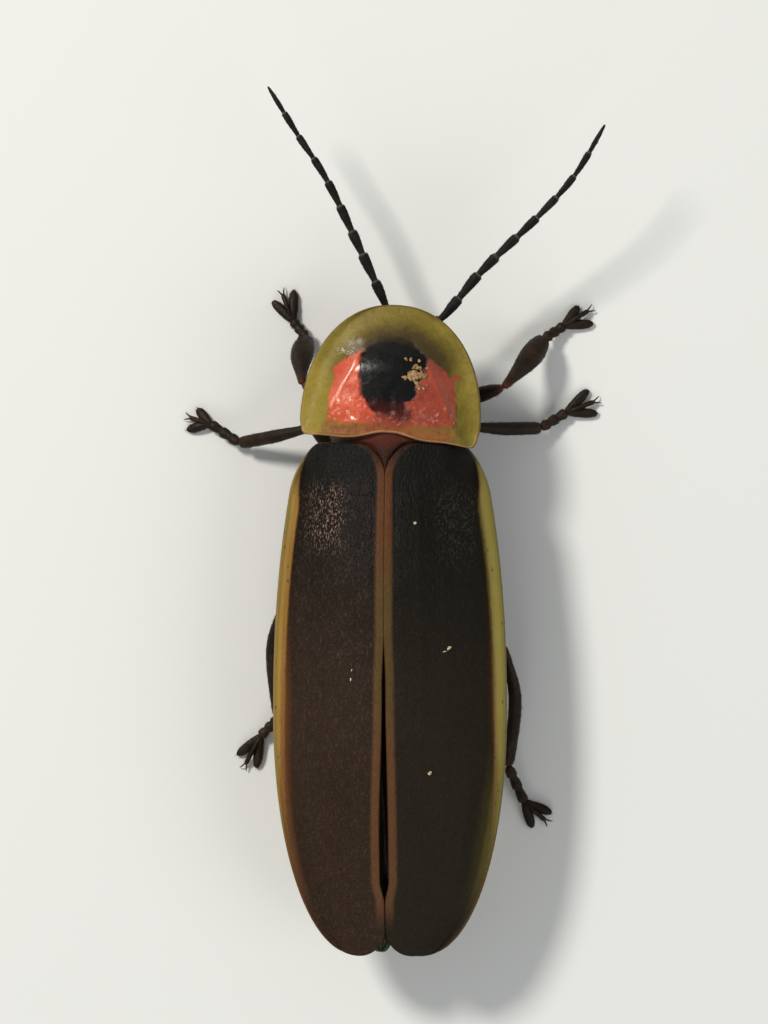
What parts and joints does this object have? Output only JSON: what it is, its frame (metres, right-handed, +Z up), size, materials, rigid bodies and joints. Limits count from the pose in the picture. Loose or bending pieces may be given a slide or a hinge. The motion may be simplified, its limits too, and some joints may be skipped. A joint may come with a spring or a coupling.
{
  "type": "firefly",
  "caption": "Life-size still model of a firefly standing on its six feet: rounded shield over the head, long soft wing cases, forward-swept feelers and a pale lantern under the tail.",
  "frame": {"origin": "on the floor, under the middle of the whole outline of body, legs and feelers", "axes": "+Z up; the head and feelers point along -Y and the tips of the wing cases along +Y; the animal's own left is +X"},
  "size_m": [0.0095, 0.0187, 0.0034],
  "materials": {
    "shield": "translucent horny rim, glossy rose patches beside a black spot",
    "body": "brown leathery skin with short down",
    "eye": "glossy black with fine facets",
    "mouth": "glossy reddish brown",
    "feeler": "matte black with short down",
    "scutellum": "satin dark reddish brown",
    "wing_case": "matte dark brown, finely granular, with tan margins",
    "hind_wing": "smoky folded membrane",
    "lantern": "pale waxy cream",
    "leg": "dark brown with fine hairs, redder at the knees"
  },
  "bodies": {
    "root": {"pronotum": "shield", "head": "body", "eye_left": "eye", "eye_right": "eye", "mandible_left": "mouth", "mandible_right": "mouth", "palp_left": "mouth", "palp_right": "mouth", "antenna_left": "feeler", "antenna_right": "feeler", "prosternum": "body", "mesothorax": "body", "metathorax": "body", "scutellum": "scutellum", "elytron_left": "wing_case", "elytron_right": "wing_case", "hindwing_left": "hind_wing", "hindwing_right": "hind_wing", "abdomen_ring_1": "body", "abdomen_ring_2": "body", "abdomen_ring_3": "body", "abdomen_ring_4": "body", "abdomen_ring_5": "lantern", "abdomen_ring_6": "lantern", "abdomen_ring_7": "body", "abdomen_tip": "body", "coxa_front_left": "leg", "femur_front_left": "leg", "tibia_front_left": "leg", "tarsus_front_left": "leg", "coxa_front_right": "leg", "femur_front_right": "leg", "tibia_front_right": "leg", "tarsus_front_right": "leg", "coxa_middle_left": "leg", "femur_middle_left": "leg", "tibia_middle_left": "leg", "tarsus_middle_left": "leg", "coxa_middle_right": "leg", "femur_middle_right": "leg", "tibia_middle_right": "leg", "tarsus_middle_right": "leg", "coxa_hind_left": "leg", "femur_hind_left": "leg", "tibia_hind_left": "leg", "tarsus_hind_left": "leg", "coxa_hind_right": "leg", "femur_hind_right": "leg", "tibia_hind_right": "leg", "tarsus_hind_right": "leg"}
  },
  "joints": []
}
